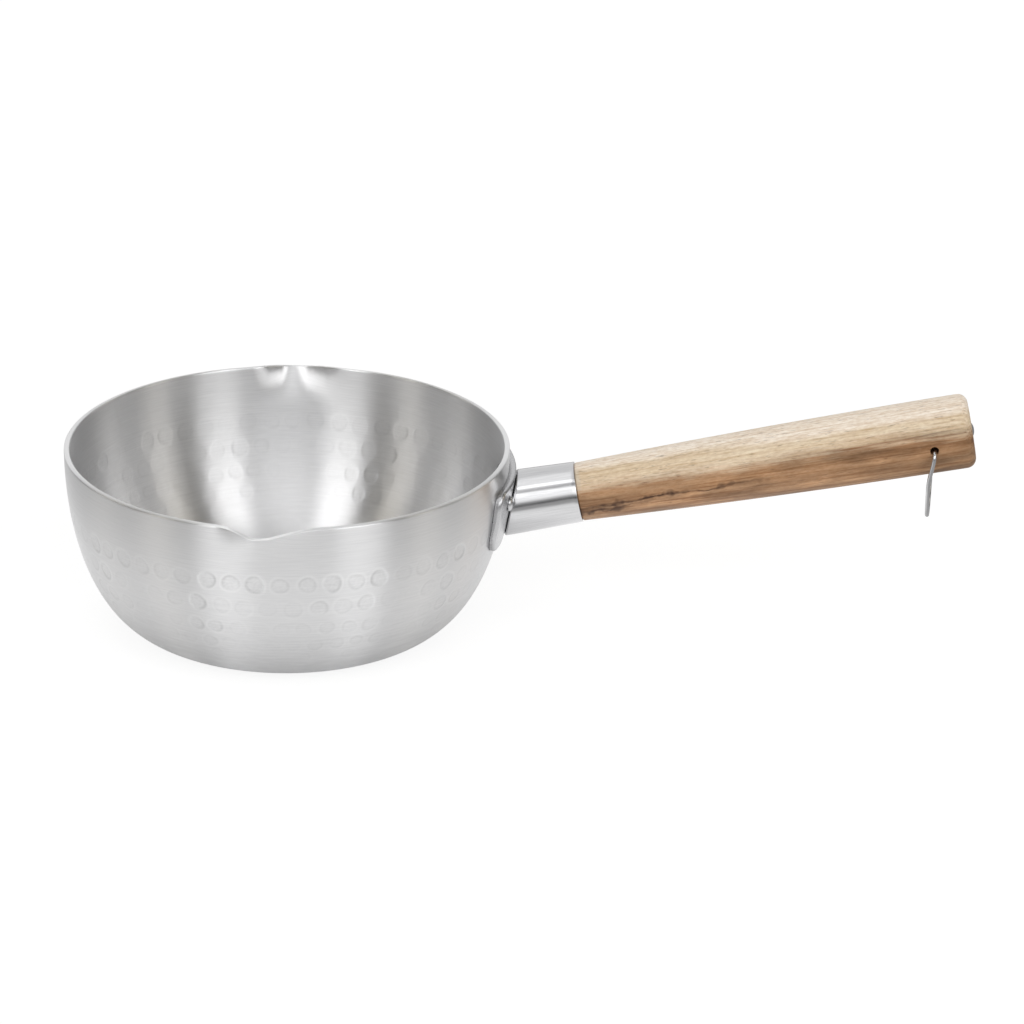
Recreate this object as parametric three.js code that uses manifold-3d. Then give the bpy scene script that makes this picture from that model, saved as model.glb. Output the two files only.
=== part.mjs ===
// A hammered aluminium saucepan with two pouring lips and a wooden handle. Millimetres, +Z up.
// The origin is the middle of the base on the table, and the handle points along +X.
import * as THREE from "three";
import { mergeVertices } from "three/addons/utils/BufferGeometryUtils.js";
import Module from "manifold-3d";

const wasm = await Module();
wasm.setup();

// Bowl: a flat base that runs up through a full curve into a nearly upright wall.
const RIM_RADIUS = 92;
const BASE_RADIUS = 54;
const BOWL_HEIGHT = 77.3;
const BOWL_FULLNESS = 2.12;
const WALL = 2.2;

// Pouring lips: one on each side of the handle, pulled outwards and a little down.
// The azimuth is counted from the handle, and each lip spreads further on the handle's side.
// Foot and crest are the shares of that spread over which the slope is rounded off at its ends.
const LIP_PULL = 6.3;
const LIP_DROP = 2.2;
const LIP_DEPTH = 22;
const LIP_AZIMUTH = 93;
const LIP_SPREAD_NEAR = 16.9;
const LIP_SPREAD_FAR = 11.3;
const LIP_FOOT = 0.25;
const LIP_CREST = 0.15;

// Saddle plate of the handle bracket, curved to lie on the wall.
const SADDLE_THICKNESS = 2.8;
const SADDLE_HALF_WIDTH = 29.5;
const SADDLE_RISE = 15;
const SADDLE_FALL = 12.8;
const SADDLE_BELLY = 2.2;
const SADDLE_CORNER = 6;
const SADDLE_LOW_CORNER = 10;

// Rivets: one in each wing of the saddle.
const RIVET_AZIMUTH = 10.5;
const RIVET_RISE = 6.7;
const RIVET_SHANK_RADIUS = 2;
const RIVET_HEAD_RADIUS = 3.2;
const RIVET_HEAD_HEIGHT = 1.6;
const RIVET_INNER_HEIGHT = 1.1;

// Handle axis: where it leaves the wall, and how far it rises.
const HANDLE_BELOW_RIM = 24;
const HANDLE_TILT = 11.2;

// Ferrule: a tapered tube between the saddle and the wood.
const FERRULE_LENGTH = 27.8;
const FERRULE_RADIUS_AT_SADDLE = 13.3;
const FERRULE_RADIUS_AT_WOOD = 12.6;
const FERRULE_WALL = 1.6;
const BOSS_LENGTH = 9;

// Wooden grip.
const GRIP_LENGTH = 163.6;
const GRIP_RADIUS_AT_FERRULE = 12.1;
const GRIP_RADIUS_MIDDLE = 14.5;
const GRIP_RADIUS_END = 15.4;
const GRIP_END_ROUNDING = 4;

// Tie bolt through the grip into the boss of the bracket.
const BOLT_RADIUS = 1.9;
const BOLT_HEAD_RADIUS = 3;
const BOLT_HEAD_HEIGHT = 2.7;
const BOLT_HEAD_SUNK = 2;
const BOLT_GRIP = 8;

// Hanging ring: a wire loop sprung into two blind holes near the end of the grip.
// Below the holes its loop is turned a little about the upright, fully so at the skew depth.
const RING_WIRE_RADIUS = 1.1;
const RING_HOLE_RADIUS = 1.85;
const RING_HOLE_DEPTH = 8.5;
const RING_FROM_END = 16.5;
const RING_BELOW_AXIS = 0.8;
const RING_SIDE_CLEARANCE = 1;
const RING_DROP = 33.6;
const RING_BEND = 3;
const RING_SKEW = 8;
const RING_SKEW_DEPTH = 12;

// Clearance left between pieces that touch.
const GAP = 0.3;

// Fineness of the round shapes.
const BOWL_SIDES = 120;
const GRIP_SIDES = 48;
const SMALL_SIDES = 24;
const WIRE_SIDES = 10;

const rad = THREE.MathUtils.degToRad;
const X_AXIS = new THREE.Vector3(1, 0, 0);

// Closed solid of a geometry, with seam points merged and collapsed triangles dropped.
function solid(geometry) {
  const bare = geometry.clone();
  bare.deleteAttribute("normal");
  bare.deleteAttribute("uv");
  const merged = mergeVertices(bare, 1e-4);
  const corners = merged.index.array;
  const kept = [];
  for (let i = 0; i < corners.length; i += 3) {
    const [a, b, c] = corners.subarray(i, i + 3);
    if (a !== b && b !== c && c !== a) kept.push(a, b, c);
  }
  return new wasm.Manifold(
    new wasm.Mesh({
      numProp: 3,
      vertProperties: merged.attributes.position.array,
      triVerts: new Uint32Array(kept),
    }),
  );
}

// Geometry of a solid, for a mesh.
function geometryOf(body) {
  const mesh = body.getMesh();
  const points = new THREE.BufferAttribute(mesh.vertProperties, 3);
  const geometry = new THREE.BufferGeometry();
  geometry.setAttribute("position", points);
  geometry.setIndex(new THREE.BufferAttribute(mesh.triVerts, 1));
  geometry.computeVertexNormals();
  return geometry;
}

// Solid of revolution about Z from [radius, height] pairs.
function turnedZ(profile, sides) {
  const points = profile.map(([r, h]) => new THREE.Vector2(r, h));
  return new THREE.LatheGeometry(points, sides).rotateX(Math.PI / 2);
}

// Solid of revolution about X from [distance, radius] pairs that start and end on the axis.
function turnedX(profile, sides) {
  const points = profile.map(([x, r]) => new THREE.Vector2(r, x));
  return new THREE.LatheGeometry(points, sides).rotateZ(-Math.PI / 2);
}

// Plain rod along X.
function rodX(from, to, radius, sides) {
  return turnedX([[from, 0], [from, radius], [to, radius], [to, 0]], sides);
}

// Outside radius of the bowl wall at a height.
function wallRadius(height) {
  const u = (BOWL_HEIGHT - height) / BOWL_HEIGHT;
  const bulge = (1 - u ** BOWL_FULLNESS) ** (1 / BOWL_FULLNESS);
  return BASE_RADIUS + (RIM_RADIUS - BASE_RADIUS) * bulge;
}

// Outward direction of the wall in the plane of its profile: [radial, upward].
function wallNormal(height) {
  const step = 0.05;
  const slope = (wallRadius(height + step) - wallRadius(height - step)) / (2 * step);
  const length = Math.hypot(1, slope);
  return [1 / length, -slope / length];
}

// Side curve from the base to just under the rim, offset along its normal. Positive is outwards.
function sideCurve(offset, count) {
  const curve = [];
  const top = BOWL_HEIGHT - WALL / 2;
  for (let i = 0; i <= count; i++) {
    const angle = (i / count) * (Math.PI / 2);
    const height = Math.min(top, BOWL_HEIGHT * (1 - Math.cos(angle) ** (2 / BOWL_FULLNESS)));
    if (i === 0) {
      curve.push([BASE_RADIUS, -offset]);
    } else {
      const [nr, nz] = height < top ? wallNormal(height) : [1, 0];
      curve.push([wallRadius(height) + offset * nr, height + offset * nz]);
    }
    if (height === top) break;
  }
  return curve;
}

// Bowl profile: base, outside, rounded rim, inside.
function bowlProfile() {
  const outside = sideCurve(0, 14);
  const inside = sideCurve(-WALL, 12).reverse();
  const rim = [];
  for (let i = 1; i < 4; i++) {
    const angle = (i / 4) * Math.PI;
    const r = RIM_RADIUS - (WALL / 2) * (1 - Math.cos(angle));
    rim.push([r, BOWL_HEIGHT - WALL / 2 + (WALL / 2) * Math.sin(angle)]);
  }
  return [[0, 0], ...outside, ...rim, ...inside, [0, WALL]];
}

// How far a lip is pulled at a share of its spread, from 1 at its middle to 0 at its edge.
function lipShape(share) {
  const left = 1 - share;
  const foot = left < LIP_FOOT ? left ** 2 / (2 * LIP_FOOT) : left - LIP_FOOT / 2;
  const crest = (LIP_CREST / 2) * Math.max(0, 1 - share / LIP_CREST) ** 2;
  return (foot - crest) / (1 - LIP_FOOT / 2 - LIP_CREST / 2);
}

// Pulls the two pouring lips out of a bowl.
function pullLips(geometry) {
  const at = geometry.attributes.position;
  for (let i = 0; i < at.count; i++) {
    const x = at.getX(i);
    const y = at.getY(i);
    const z = at.getZ(i);
    const off = Math.abs(THREE.MathUtils.radToDeg(Math.atan2(y, x))) - LIP_AZIMUTH;
    const share = off < 0 ? -off / LIP_SPREAD_NEAR : off / LIP_SPREAD_FAR;
    const below = (BOWL_HEIGHT - z) / LIP_DEPTH;
    if (share >= 1 || below >= 1) continue;
    const across = lipShape(share);
    const down = (1 - below) ** 2 * (1 + below);
    const grow = 1 + (LIP_PULL * across * down) / Math.hypot(x, y);
    at.setXYZ(i, x * grow, y * grow, z - LIP_DROP * across ** 1.5 * down);
  }
  return geometry;
}

// Everything within a distance of the outside of the bowl, from the base to the rim.
function wallEnvelope(offset) {
  const curve = sideCurve(offset, 14);
  const top = [[RIM_RADIUS + offset, BOWL_HEIGHT], [0, BOWL_HEIGHT]];
  return solid(turnedZ([[0, -offset], ...curve, ...top], BOWL_SIDES));
}

// Handle frame: its origin is on the outer face of the saddle and X runs along the handle.
const rootHeight = BOWL_HEIGHT - HANDLE_BELOW_RIM;
const rootRadius = wallRadius(rootHeight) + GAP + SADDLE_THICKNESS;
const handle = new THREE.Group();
handle.position.set(rootRadius, 0, rootHeight);
handle.rotation.y = -rad(HANDLE_TILT);
handle.updateMatrix();
const toHandle = handle.matrix.clone().invert();
const boreRadius = FERRULE_RADIUS_AT_WOOD - FERRULE_WALL;

// Rivet places: a point on the outside of the bowl and the outward direction there.
function rivetPlace(side) {
  const height = rootHeight + RIVET_RISE;
  const around = side * rad(RIVET_AZIMUTH);
  const [nr, nz] = wallNormal(height);
  const r = wallRadius(height);
  const point = new THREE.Vector3(r * Math.cos(around), r * Math.sin(around), height);
  const out = new THREE.Vector3(nr * Math.cos(around), nr * Math.sin(around), nz);
  return { point, turn: new THREE.Quaternion().setFromUnitVectors(X_AXIS, out) };
}
const rivetPlaces = [rivetPlace(1), rivetPlace(-1)];

// Clearance holes for the two rivets, through wall and saddle.
function rivetHoles() {
  const reach = WALL + SADDLE_THICKNESS + 4;
  return rivetPlaces.map(({ point, turn }) => {
    const rod = rodX(-reach, reach, RIVET_SHANK_RADIUS + GAP, SMALL_SIDES);
    return solid(rod.applyQuaternion(turn).translate(point.x, point.y, point.z));
  });
}

function bowlBody() {
  let body = solid(pullLips(turnedZ(bowlProfile(), BOWL_SIDES)));
  for (const hole of rivetHoles()) body = body.subtract(hole);
  return body;
}

// Outline of the saddle seen along the handle: a wide plate with round corners and a low belly.
function saddleOutline() {
  const w = SADDLE_HALF_WIDTH;
  const c = SADDLE_CORNER;
  const d = SADDLE_LOW_CORNER;
  const top = rootHeight + SADDLE_RISE;
  const low = rootHeight - SADDLE_FALL;
  const shape = new THREE.Shape();
  shape.moveTo(w, low + d);
  shape.lineTo(w, top - c);
  shape.absarc(w - c, top - c, c, 0, Math.PI / 2, false);
  shape.lineTo(-w + c, top);
  shape.absarc(-w + c, top - c, c, Math.PI / 2, Math.PI, false);
  shape.lineTo(-w, low + d);
  shape.absarc(-w + d, low + d, d, Math.PI, 1.5 * Math.PI, false);
  shape.quadraticCurveTo(0, low - 2 * SADDLE_BELLY, w - d, low);
  shape.absarc(w - d, low + d, d, 1.5 * Math.PI, 2 * Math.PI, false);
  return shape;
}

// Ring of metal that lies on the wall, cut to the saddle outline, with a boss inside the ferrule.
function bracketBody() {
  const options = { depth: RIM_RADIUS, bevelEnabled: false, curveSegments: 6 };
  const stamp = new THREE.ExtrudeGeometry(saddleOutline(), options);
  stamp.rotateX(Math.PI / 2).rotateZ(Math.PI / 2).translate(RIM_RADIUS / 2, 0, 0);
  const shell = wallEnvelope(GAP + SADDLE_THICKNESS).subtract(wallEnvelope(GAP));
  let body = shell.intersect(solid(stamp));
  const boss = rodX(-SADDLE_THICKNESS, BOSS_LENGTH, boreRadius - GAP, GRIP_SIDES);
  const placed = solid(boss.applyMatrix4(handle.matrix)).subtract(wallEnvelope(GAP));
  body = body.add(placed);
  const tapping = rodX(BOSS_LENGTH - BOLT_GRIP, BOSS_LENGTH + 1, BOLT_RADIUS + GAP, SMALL_SIDES);
  body = body.subtract(solid(tapping.applyMatrix4(handle.matrix)));
  for (const hole of rivetHoles()) body = body.subtract(hole);
  return body;
}

// Ferrule: its bowl end follows the saddle and its bore takes the boss and the tenon.
function ferruleBody() {
  const start = -FERRULE_RADIUS_AT_SADDLE;
  const tube = turnedX(
    [
      [start, boreRadius],
      [start, FERRULE_RADIUS_AT_SADDLE],
      [0, FERRULE_RADIUS_AT_SADDLE],
      [FERRULE_LENGTH, FERRULE_RADIUS_AT_WOOD],
      [FERRULE_LENGTH, boreRadius],
      [start, boreRadius],
    ],
    GRIP_SIDES,
  );
  const wall = wallEnvelope(2 * GAP + SADDLE_THICKNESS);
  return solid(tube).subtract(wall.transform(toHandle.elements));
}

// Outside radius of the grip at a share of its length, through three driving radii.
function gripRadius(share) {
  const rise = GRIP_RADIUS_END - GRIP_RADIUS_AT_FERRULE;
  const bend = 2 * (2 * (GRIP_RADIUS_MIDDLE - GRIP_RADIUS_AT_FERRULE) - rise);
  return GRIP_RADIUS_AT_FERRULE + rise * share + bend * share * (1 - share);
}

const gripStart = FERRULE_LENGTH + GAP;
const gripEnd = gripStart + GRIP_LENGTH;
const ringAt = gripEnd - RING_FROM_END;
const gripRadiusAtRing = gripRadius(1 - RING_FROM_END / GRIP_LENGTH);

// Grip: tenon, swelling body with a rounded end, bolt bore and the two blind holes for the ring.
function gripBody() {
  const tenonStart = BOSS_LENGTH + GAP;
  const tenonRadius = boreRadius - GAP;
  const profile = [[tenonStart, 0], [tenonStart, tenonRadius], [gripStart, tenonRadius]];
  const round = GRIP_END_ROUNDING;
  const straight = 1 - round / GRIP_LENGTH;
  for (let i = 0; i <= 12; i++) {
    const share = (i / 12) * straight;
    profile.push([gripStart + share * GRIP_LENGTH, gripRadius(share)]);
  }
  const shoulder = gripRadius(straight);
  for (let i = 1; i <= 5; i++) {
    const angle = (i / 5) * (Math.PI / 2);
    const x = gripEnd - round * (1 - Math.sin(angle));
    profile.push([x, shoulder - round * (1 - Math.cos(angle))]);
  }
  profile.push([gripEnd, 0]);
  let body = solid(turnedX(profile, GRIP_SIDES));
  const bore = rodX(0, gripEnd + 1, BOLT_RADIUS + GAP, SMALL_SIDES);
  const sink = rodX(gripEnd - BOLT_HEAD_SUNK, gripEnd + 1, BOLT_HEAD_RADIUS + GAP, SMALL_SIDES);
  body = body.subtract(solid(bore)).subtract(solid(sink));
  for (const side of [1, -1]) {
    const from = gripRadiusAtRing - RING_HOLE_DEPTH;
    const hole = rodX(from, gripRadiusAtRing + 2, RING_HOLE_RADIUS, SMALL_SIDES);
    hole.rotateZ((side * Math.PI) / 2).translate(ringAt, 0, -RING_BELOW_AXIS);
    body = body.subtract(solid(hole));
  }
  return body;
}

// Tie bolt: shank, flat seat and domed head.
function boltBody() {
  const start = BOSS_LENGTH - BOLT_GRIP + GAP;
  const seat = gripEnd - BOLT_HEAD_SUNK + GAP;
  const head = seat + BOLT_HEAD_HEIGHT;
  const r = BOLT_HEAD_RADIUS;
  return turnedX(
    [
      [start, 0],
      [start, BOLT_RADIUS],
      [seat, BOLT_RADIUS],
      [seat, r],
      [head - 0.9, r],
      [head - 0.4, 0.85 * r],
      [head - 0.1, 0.5 * r],
      [head, 0],
    ],
    SMALL_SIDES,
  );
}

// Rivet: inner head, shank and domed outer head, along X from the outside of the bowl.
function rivetBody() {
  const inner = -WALL - GAP;
  const outer = 2 * GAP + SADDLE_THICKNESS;
  const r = RIVET_HEAD_RADIUS;
  const h = RIVET_HEAD_HEIGHT;
  return turnedX(
    [
      [inner - RIVET_INNER_HEIGHT, 0],
      [inner - RIVET_INNER_HEIGHT, 0.7 * r],
      [inner - 0.5 * RIVET_INNER_HEIGHT, r],
      [inner, r],
      [inner, RIVET_SHANK_RADIUS],
      [outer, RIVET_SHANK_RADIUS],
      [outer, r],
      [outer + 0.35 * h, 0.94 * r],
      [outer + 0.75 * h, 0.66 * r],
      [outer + 0.95 * h, 0.3 * r],
      [outer + h, 0],
    ],
    SMALL_SIDES,
  );
}

// Path through given points, used at an even pace along its length.
class Track extends THREE.Curve {
  constructor(points) {
    super();
    this.points = points;
    this.lengths = [0];
    for (let i = 1; i < points.length; i++) {
      this.lengths.push(this.lengths[i - 1] + points[i].distanceTo(points[i - 1]));
    }
  }
  getPoint(t, target = new THREE.Vector3()) {
    const along = t * this.lengths[this.lengths.length - 1];
    let i = 1;
    while (i < this.points.length - 1 && this.lengths[i] < along) i++;
    const span = this.lengths[i] - this.lengths[i - 1];
    const share = (along - this.lengths[i - 1]) / span;
    return target.lerpVectors(this.points[i - 1], this.points[i], share);
  }
}

// Hanging ring: ends along Y at height 0, a bend and a leg down on each side, half circle below.
const ringHalf = gripRadiusAtRing + RING_SIDE_CLEARANCE + RING_WIRE_RADIUS;
function ringBody() {
  const b = RING_BEND;
  const endY = gripRadiusAtRing - RING_HOLE_DEPTH + 2 * GAP;
  const low = -(RING_DROP - ringHalf);
  const side = [new THREE.Vector3(0, endY, 0)];
  for (let i = 0; i <= 6; i++) {
    const angle = (i / 6) * (Math.PI / 2);
    side.push(new THREE.Vector3(0, ringHalf - b + b * Math.sin(angle), -b + b * Math.cos(angle)));
  }
  for (let i = 1; i <= 6; i++) {
    side.push(new THREE.Vector3(0, ringHalf, THREE.MathUtils.lerp(-b, low, i / 6)));
  }
  const bottom = [];
  for (let i = 1; i < 24; i++) {
    const angle = (i / 24) * Math.PI;
    bottom.push(new THREE.Vector3(0, ringHalf * Math.cos(angle), low - ringHalf * Math.sin(angle)));
  }
  const otherSide = side.map((p) => new THREE.Vector3(0, -p.y, p.z)).reverse();
  const points = [...side, ...bottom, ...otherSide];
  for (const p of points) {
    p.x = p.y * Math.tan(rad(RING_SKEW)) * THREE.MathUtils.smoothstep(-p.z, b, RING_SKEW_DEPTH);
  }
  const wire = new THREE.Shape();
  for (let i = 0; i < WIRE_SIDES; i++) {
    const angle = (i / WIRE_SIDES) * 2 * Math.PI;
    const x = RING_WIRE_RADIUS * Math.cos(angle);
    const y = RING_WIRE_RADIUS * Math.sin(angle);
    if (i === 0) wire.moveTo(x, y);
    else wire.lineTo(x, y);
  }
  wire.closePath();
  return new THREE.ExtrudeGeometry(wire, { steps: 72, extrudePath: new Track(points) });
}

function piece(name, geometry, color, roughness, metalness) {
  const material = new THREE.MeshStandardMaterial({ color, roughness, metalness });
  const mesh = new THREE.Mesh(geometry, material);
  mesh.name = name;
  return mesh;
}

const pan = new THREE.Group();
pan.add(piece("bowl", geometryOf(bowlBody()), 0xc9cacc, 0.35, 1));
pan.add(piece("handle_bracket", geometryOf(bracketBody()), 0xbfc0c2, 0.35, 1));

rivetPlaces.forEach(({ point, turn }, i) => {
  const name = i === 0 ? "rivet_left" : "rivet_right";
  const rivet = piece(name, geometryOf(solid(rivetBody())), 0xd2d3d4, 0.3, 1);
  rivet.position.copy(point);
  rivet.quaternion.copy(turn);
  pan.add(rivet);
});

handle.add(piece("ferrule", geometryOf(ferruleBody()), 0xc4c5c7, 0.25, 1));
handle.add(piece("wooden_handle", geometryOf(gripBody()), 0xcfa77c, 0.55, 0));
handle.add(piece("tie_bolt", geometryOf(solid(boltBody())), 0x9a9b9d, 0.4, 1));
pan.add(handle);

// The ring hangs straight down with its wire resting low in the two holes.
const ring = piece("hanging_ring", geometryOf(solid(ringBody())), 0xd8d9da, 0.2, 1);
const hang = RING_HOLE_RADIUS - RING_WIRE_RADIUS - GAP;
ring.position.set(ringAt, 0, -RING_BELOW_AXIS).applyMatrix4(handle.matrix);
ring.position.z -= hang;
pan.add(ring);

export default pan;
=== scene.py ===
"""Looks of a yukihira pan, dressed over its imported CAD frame. Metres, +Z up, handle along +X."""

import math
import random

import bpy
import numpy as np
from mathutils import Matrix, Vector


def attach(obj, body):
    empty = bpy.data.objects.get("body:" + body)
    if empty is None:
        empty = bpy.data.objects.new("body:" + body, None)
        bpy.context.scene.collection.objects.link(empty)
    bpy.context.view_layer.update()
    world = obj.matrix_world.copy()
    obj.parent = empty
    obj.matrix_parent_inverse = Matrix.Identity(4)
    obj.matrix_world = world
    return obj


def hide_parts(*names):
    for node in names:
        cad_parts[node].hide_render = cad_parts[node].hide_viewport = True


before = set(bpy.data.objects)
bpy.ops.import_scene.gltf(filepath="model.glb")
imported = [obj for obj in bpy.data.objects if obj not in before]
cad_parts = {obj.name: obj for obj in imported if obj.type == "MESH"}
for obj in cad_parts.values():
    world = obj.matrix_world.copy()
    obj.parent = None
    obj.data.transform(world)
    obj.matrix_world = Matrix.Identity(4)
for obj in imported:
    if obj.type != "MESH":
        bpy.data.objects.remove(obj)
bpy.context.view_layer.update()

MM = 0.001

# Bowl. The top of its rim gets a painted highlight and falls a little to the outside.
RIM_RADIUS = 92 * MM
BASE_RADIUS = 54 * MM
BOWL_HEIGHT = 77.3 * MM
BOWL_FULLNESS = 2.12
WALL = 2.2 * MM
RIM_SLOPE = 0.12
RIM_FLATNESS = 0.3
RIM_HIGHLIGHT = -0.9

# Pouring lips: how far each is pulled out and down, and how far below the rim that reaches.
FRONT_LIP = (4.0 * MM, 3.0 * MM, 16 * MM)
BACK_LIP = (5.4 * MM, 1.8 * MM, 20 * MM)
LIP_AZIMUTH = 93
LIP_SPREAD_NEAR = 16.9
LIP_SPREAD_FAR = 11.3
LIP_FOOT = 0.42
LIP_CREST = 0.25
LIP_DROP_POWER = 1.5

# Saddle and rivets. The flats at the middle of the rivets' heads are angles from the axis, in radians.
SADDLE_THICKNESS = 2.8 * MM
SADDLE_THICKNESS_LOW = 1.8 * MM
SADDLE_HALF_WIDTH = 29.5 * MM
SADDLE_RISE = 15 * MM
SADDLE_FALL = 12.8 * MM
SADDLE_BELLY = 2.2 * MM
SADDLE_CORNER = 6 * MM
SADDLE_LOW_CORNER = 10 * MM
SADDLE_EDGE = 1.3 * MM
SADDLE_BACK_EDGE = 0.15 * MM
RIVET_AZIMUTH = 10.5
RIVET_RISE = 6.7 * MM
RIVET_SHANK_RADIUS = 2 * MM
RIVET_HEAD_RADIUS = 3.2 * MM
RIVET_HEAD_HEIGHT = 1.6 * MM
RIVET_HEAD_FLAT = 0.1
RIVET_INNER_HEIGHT = 1.1 * MM
RIVET_INNER_FLAT = 0.15

# Handle: where it leaves the bowl, the ferrule, the grip and the bolt through it.
HANDLE_BELOW_RIM = 24 * MM
HANDLE_TILT = math.radians(11.2)
FERRULE_LENGTH = 27.8 * MM
FERRULE_RADIUS_AT_SADDLE = 13.3 * MM
FERRULE_RADIUS_AT_WOOD = 12.6 * MM
FERRULE_WALL = 1.6 * MM
FERRULE_ROUNDING = 0.8 * MM
FERRULE_LIP = 0.15 * MM
BOSS_LENGTH = 9 * MM
GRIP_LENGTH = 163.6 * MM
GRIP_RADIUS_AT_FERRULE = 12.1 * MM
GRIP_RADIUS_MIDDLE = 14.5 * MM
GRIP_RADIUS_END = 15.4 * MM
GRIP_CHAMFER = 0.5 * MM
GRIP_END_ROUNDING = 4 * MM
BOLT_RADIUS = 1.9 * MM
BOLT_HEAD_RADIUS = 3 * MM
BOLT_HEAD_HEIGHT = 2.7 * MM
BOLT_HEAD_SUNK = 2 * MM
BOLT_DOME = 1.3 * MM
BOLT_FLAT = 0.12
BOLT_GRIP = 8 * MM

# Hanging ring and its holes in the grip.
RING_WIRE_RADIUS = 0.85 * MM
RING_HOLE_RADIUS = 1.85 * MM
RING_HOLE_DEPTH = 8.5 * MM
RING_FROM_END = 16.5 * MM
RING_BELOW_AXIS = 0.8 * MM
RING_SIDE_CLEARANCE = 1.25 * MM
RING_DROP = 32.6 * MM
RING_BEND = 3 * MM
RING_SKEW = math.radians(6.5)
RING_SKEW_DEPTH = 15 * MM
RING_HANG = 0.45 * MM

# Clearance between the solids, the seam that shows between pieces, and how far past the wood the cutters of
# the ring's holes and of the bolt's bore reach.
GAP = 0.3 * MM
SEAM = 0.06 * MM
HOLE_PAST = 2 * MM
BORE_PAST = 1 * MM

# Hammer marks on the outside: depth of each row below the rim, marks round it, radius of a mark, depth of
# a full blow and the share of that depth which the lightest blow has.
HAMMER_ROWS = [
    (24.8 * MM, 56, 4.0 * MM, 0.15 * MM, 0.4),
    (35.8 * MM, 56, 4.0 * MM, 0.15 * MM, 0.5),
    (46.3 * MM, 60, 3.6 * MM, 0.14 * MM, 0.5),
    (54.6 * MM, 60, 3.3 * MM, 0.11 * MM, 0.35),
    (61.5 * MM, 56, 3.1 * MM, 0.05 * MM, 0.1),
]
HAMMER_FULL = HAMMER_ROWS[0][3]
HAMMER_PHASE = math.radians(2.7)
HAMMER_THROUGH = 0.5

# The blows stray round the bowl, as a share of their spacing, up the wall, in size and in force. Below the
# first row they fall harder at even spaces round the bowl.
HAMMER_SEED = 7
HAMMER_STRAY = 0.06
HAMMER_SHIFT = 0.35 * MM
HAMMER_SIZES = (0.93, 1.05)
HAMMER_HARDEST = 1.15
HAMMER_SWELLS = 10
HAMMER_SWELL_FROM = math.radians(-108)
HAMMER_SWELL = 0.38

# Form of one mark: a sloping edge that wobbles, a hollow with a rough grain, and a raised lip outside it.
HAMMER_EDGE = 0.9 * MM
HAMMER_WOBBLES = (0.04, 0.03)
HAMMER_HOLLOW = 0.25
HAMMER_GRAIN = 0.12
HAMMER_LIP = 0.12
HAMMER_LIP_OUT = 0.3 * MM
HAMMER_LIP_WIDTH = 0.45 * MM
HAMMER_MARGIN = 1.5 * MM
GRAIN_UP = (0.45 * MM, 0.7 * MM)
GRAIN_SIDE = (0.8 * MM, 0.5 * MM)
GRAIN_WARP = 1.6

# Painted shade and painted highlight at the edge of a mark: a dark line inside it and a bright line outside
# it.
# Their width, how far from the edge each lies, its strength all round and what one side adds. The mottle is
# the grain's own share.
HAMMER_LINE = 0.55 * MM
HAMMER_SHADE_IN = 0.63 * MM
HAMMER_SHADE = (0.64, 0.36)
HAMMER_HIGHLIGHT_OUT = 0.315 * MM
HAMMER_HIGHLIGHT = (0.55, 0.3)
HAMMER_MOTTLE = 0.35

# Fineness of the meshes.
BOWL_COLUMNS = 1080
BOWL_STEP = 0.5 * MM
BOWL_INSIDE_EVERY = 2
CURVE_SAMPLES = 6000
RIM_STEPS = 12
BASE_RINGS = (0.35, 0.8)
SADDLE_BACK_RING = 0.3
SADDLE_FACE_RINGS = (0.9, 0.75, 0.6, 0.45, 0.3, 0.15)
SADDLE_EDGE_STEPS = 8
SADDLE_CORNER_STEPS = 10
SADDLE_LOW_CORNER_STEPS = 16
SADDLE_TOP_STEPS = 26
SADDLE_BELLY_STEPS = 22
SADDLE_SIDE_STEPS = 8
SMALL_COLUMNS = 48
RIVET_HEAD_STEPS = 14
RIVET_INNER_STEPS = 10
FERRULE_COLUMNS = 128
FERRULE_ROUNDING_STEPS = 10
FERRULE_ROWS = 16
FERRULE_LIP_ANGLES = (0.4, 0.8, 1.2, math.pi / 2)
GRIP_COLUMNS = 160
GRIP_ROWS = 90
GRIP_END_STEPS = 14
GRIP_END_RINGS = (0.85, 0.7, 0.5)
HOLE_COLUMNS = 32
BOLT_DOME_STEPS = 12
RING_COLUMNS = 20
RING_END_STEPS = 6
RING_BEND_STEPS = 12
RING_SIDE_STEPS = 10
RING_BOTTOM_STEPS = 64

# Brightness of the studio walls by degrees from the front, to both sides, and what multiplies it at each
# height. The front is turned a little to the right of the pan, and from the sides on the walls are warm.
HALF_TURN = 180
STUDIO_TURN = -7
STUDIO_WALLS = [
    (0, 1.85), (10, 1.8), (20, 1.25), (28, 3.3), (46, 3.3), (52, 0.02), (64, 0.02),
    (70, 1.3), (79, 1.3), (87, 0.05), (102, 0.05), (108, 0.9), (117, 0.9), (125, 0.02),
]
STUDIO_WARM = (1.12, 1.06, 0.94)
STUDIO_WARM_FROM = 65
STUDIO_LIFT = [
    (0.0, 0.02), (0.1, 0.08), (0.2, 0.23), (0.34, 0.76), (0.52, 1.0),
    (0.67, 1.2), (0.75, 0.26), (0.85, 0.26), (0.92, 1.1),
]

# A low haze, fainter in front, a wall of one brightness behind, and a ceiling that is brighter to the left.
STUDIO_LOW = 0.25
STUDIO_LOW_HEIGHTS = (0.25, 0.45)
STUDIO_LOW_IN_FRONT = 0.2
STUDIO_LOW_ANGLES = (6, 24)
STUDIO_BACK = 0.9
STUDIO_BACK_ANGLES = (135, 150)
CEILING = 0.7
CEILING_HEIGHTS = (0.88, 0.95)
CEILING_LEAN = 2.4
CEILING_LEAST = 0.15
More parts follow.
